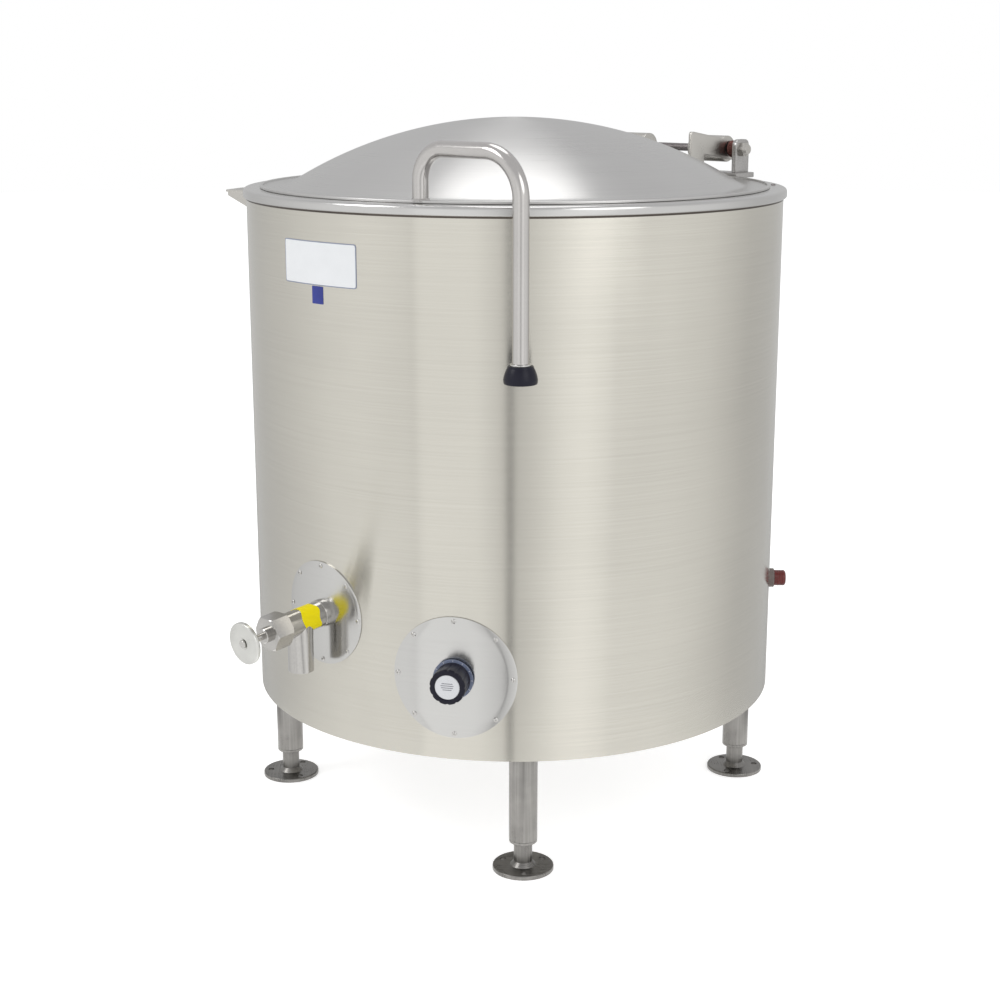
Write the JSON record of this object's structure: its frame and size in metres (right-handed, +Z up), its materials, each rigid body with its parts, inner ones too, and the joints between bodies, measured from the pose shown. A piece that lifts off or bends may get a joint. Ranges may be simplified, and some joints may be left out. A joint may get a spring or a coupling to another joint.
{
  "type": "steam-jacketed kettle",
  "caption": "Floor-standing jacketed cooking kettle with a hinged domed lid, tangent draw-off valve, thermostat knob, faucet bracket and tubular legs on adjustable flanged feet.",
  "frame": {"origin": "on the floor below the centre of the bowl, midway between the four feet", "axes": "+Z up; -Y towards the draw-off valve; +X to the right of someone facing the valve"},
  "size_m": [0.8705, 1.001, 1.0569],
  "materials": {
    "skirt_steel": "brushed round the kettle",
    "lid_steel": "spun, with rings about the crown",
    "rim_steel": "ground and polished",
    "bowl_steel": "spun and polished inside",
    "tube_steel": "polished tube",
    "plate_steel": "bright rolled plate",
    "jacket_steel": "mill finish",
    "frame_steel": "mill finish",
    "leg_steel": "satin tube",
    "foot_steel": "cast and machined",
    "valve_steel": "polished casting",
    "hinge_steel": "satin plate",
    "screw_steel": "bright",
    "spring_steel": "dark red wire",
    "blanket": "mineral wool",
    "seal_rubber": "moulded",
    "black_plastic": "moulded",
    "grey_plastic": "moulded",
    "dial_plastic": "moulded",
    "bright_face": "spun",
    "lamp_red": "clear moulding",
    "lamp_grey": "moulded",
    "valve_brass": "cast",
    "element_alloy": "heat tinted"
  },
  "bodies": {
    "kettle": {"outer_skirt": "skirt_steel", "rim_ring": "rim_steel", "kettle_liner": "bowl_steel", "strainer": "bowl_steel", "steam_jacket": "jacket_steel", "insulation": "blanket", "base_frame": "frame_steel", "bottom_cover": "frame_steel", "cover_screws": "screw_steel", "leg_bushes": "leg_steel", "leg_tube_1": "leg_steel", "leg_tube_2": "leg_steel", "leg_tube_3": "leg_steel", "leg_tube_4": "leg_steel", "draw_off_tube": "tube_steel", "valve_body": "valve_steel", "bonnet": "valve_steel", "stem_packing": "seal_rubber", "union_nut": "valve_steel", "valve_plate": "plate_steel", "valve_plate_screws": "screw_steel", "control_plate": "plate_steel", "control_plate_screws": "screw_steel", "thermostat_body": "grey_plastic", "thermostat_nut": "screw_steel", "lamp_bezel": "lamp_grey", "lamp_lens": "lamp_red", "faucet_bracket": "hinge_steel", "hinge_bracket": "hinge_steel", "hinge_shaft": "screw_steel", "hinge_nuts": "hinge_steel", "torsion_spring_left": "spring_steel", "torsion_spring_right": "spring_steel", "heating_elements": "element_alloy", "element_flange": "element_alloy", "bulb_well": "jacket_steel", "contactor": "grey_plastic", "conduit_hub": "grey_plastic", "safety_pipe": "valve_brass", "safety_valve": "valve_brass"},
    "lid": {"lid_dome": "lid_steel", "lid_arm_left": "hinge_steel", "lid_arm_right": "hinge_steel", "lid_handle": "tube_steel", "handle_end": "black_plastic"},
    "valve_plug": {"valve_plug": "valve_steel", "plug_seal": "seal_rubber"},
    "handwheel": {"valve_stem": "valve_steel", "handwheel": "valve_steel", "wheel_screw": "screw_steel"},
    "knob": {"thermostat_shaft": "screw_steel", "dial_skirt": "dial_plastic", "knob": "black_plastic", "knob_face": "bright_face"},
    "safety_lever": {"safety_lever": "valve_brass"},
    "foot_1": {"foot_1": "foot_steel"},
    "foot_2": {"foot_2": "foot_steel"},
    "foot_3": {"foot_3": "foot_steel"},
    "foot_4": {"foot_4": "foot_steel"}
  },
  "joints": [
    {"name": "lid_hinge", "type": "hinge", "parent": "kettle", "child": "lid", "pos_m": [0, 0.388, 1], "axis": [-1, 0, 0], "range_deg": [0, 90]},
    {"name": "plug_lift", "type": "slide", "parent": "kettle", "child": "valve_plug", "axis": [0, -0.9962, -0.0872], "range_m": [0, 0.012]},
    {"name": "handwheel_turn", "type": "hinge", "parent": "valve_plug", "child": "handwheel", "pos_m": [0, -0.4064, 0.366], "axis": [0, -0.9962, -0.0872], "range_deg": [0, 1080]},
    {"name": "thermostat_turn", "type": "hinge", "parent": "kettle", "child": "knob", "pos_m": [0.20931, -0.34835, 0.302], "axis": [0.515, -0.8572, 0], "range_deg": [-300, 0]},
    {"name": "safety_lift", "type": "hinge", "parent": "kettle", "child": "safety_lever", "pos_m": [-0.18739, 0.40186, 0.834], "axis": [0.9063, 0.4226, 0], "range_deg": [0, 35]},
    {"name": "foot_adjust_1", "type": "slide", "parent": "kettle", "child": "foot_1", "axis": [0, 0, -1], "range_m": [-0.02, 0.025]},
    {"name": "foot_adjust_2", "type": "slide", "parent": "kettle", "child": "foot_2", "axis": [0, 0, -1], "range_m": [-0.02, 0.025]},
    {"name": "foot_adjust_3", "type": "slide", "parent": "kettle", "child": "foot_3", "axis": [0, 0, -1], "range_m": [-0.02, 0.025]},
    {"name": "foot_adjust_4", "type": "slide", "parent": "kettle", "child": "foot_4", "axis": [0, 0, -1], "range_m": [-0.02, 0.025]}
  ],
  "couplings": [
    {"joint": "plug_lift", "follows": "handwheel_turn", "m_per_rad": 0.00063662}
  ]
}
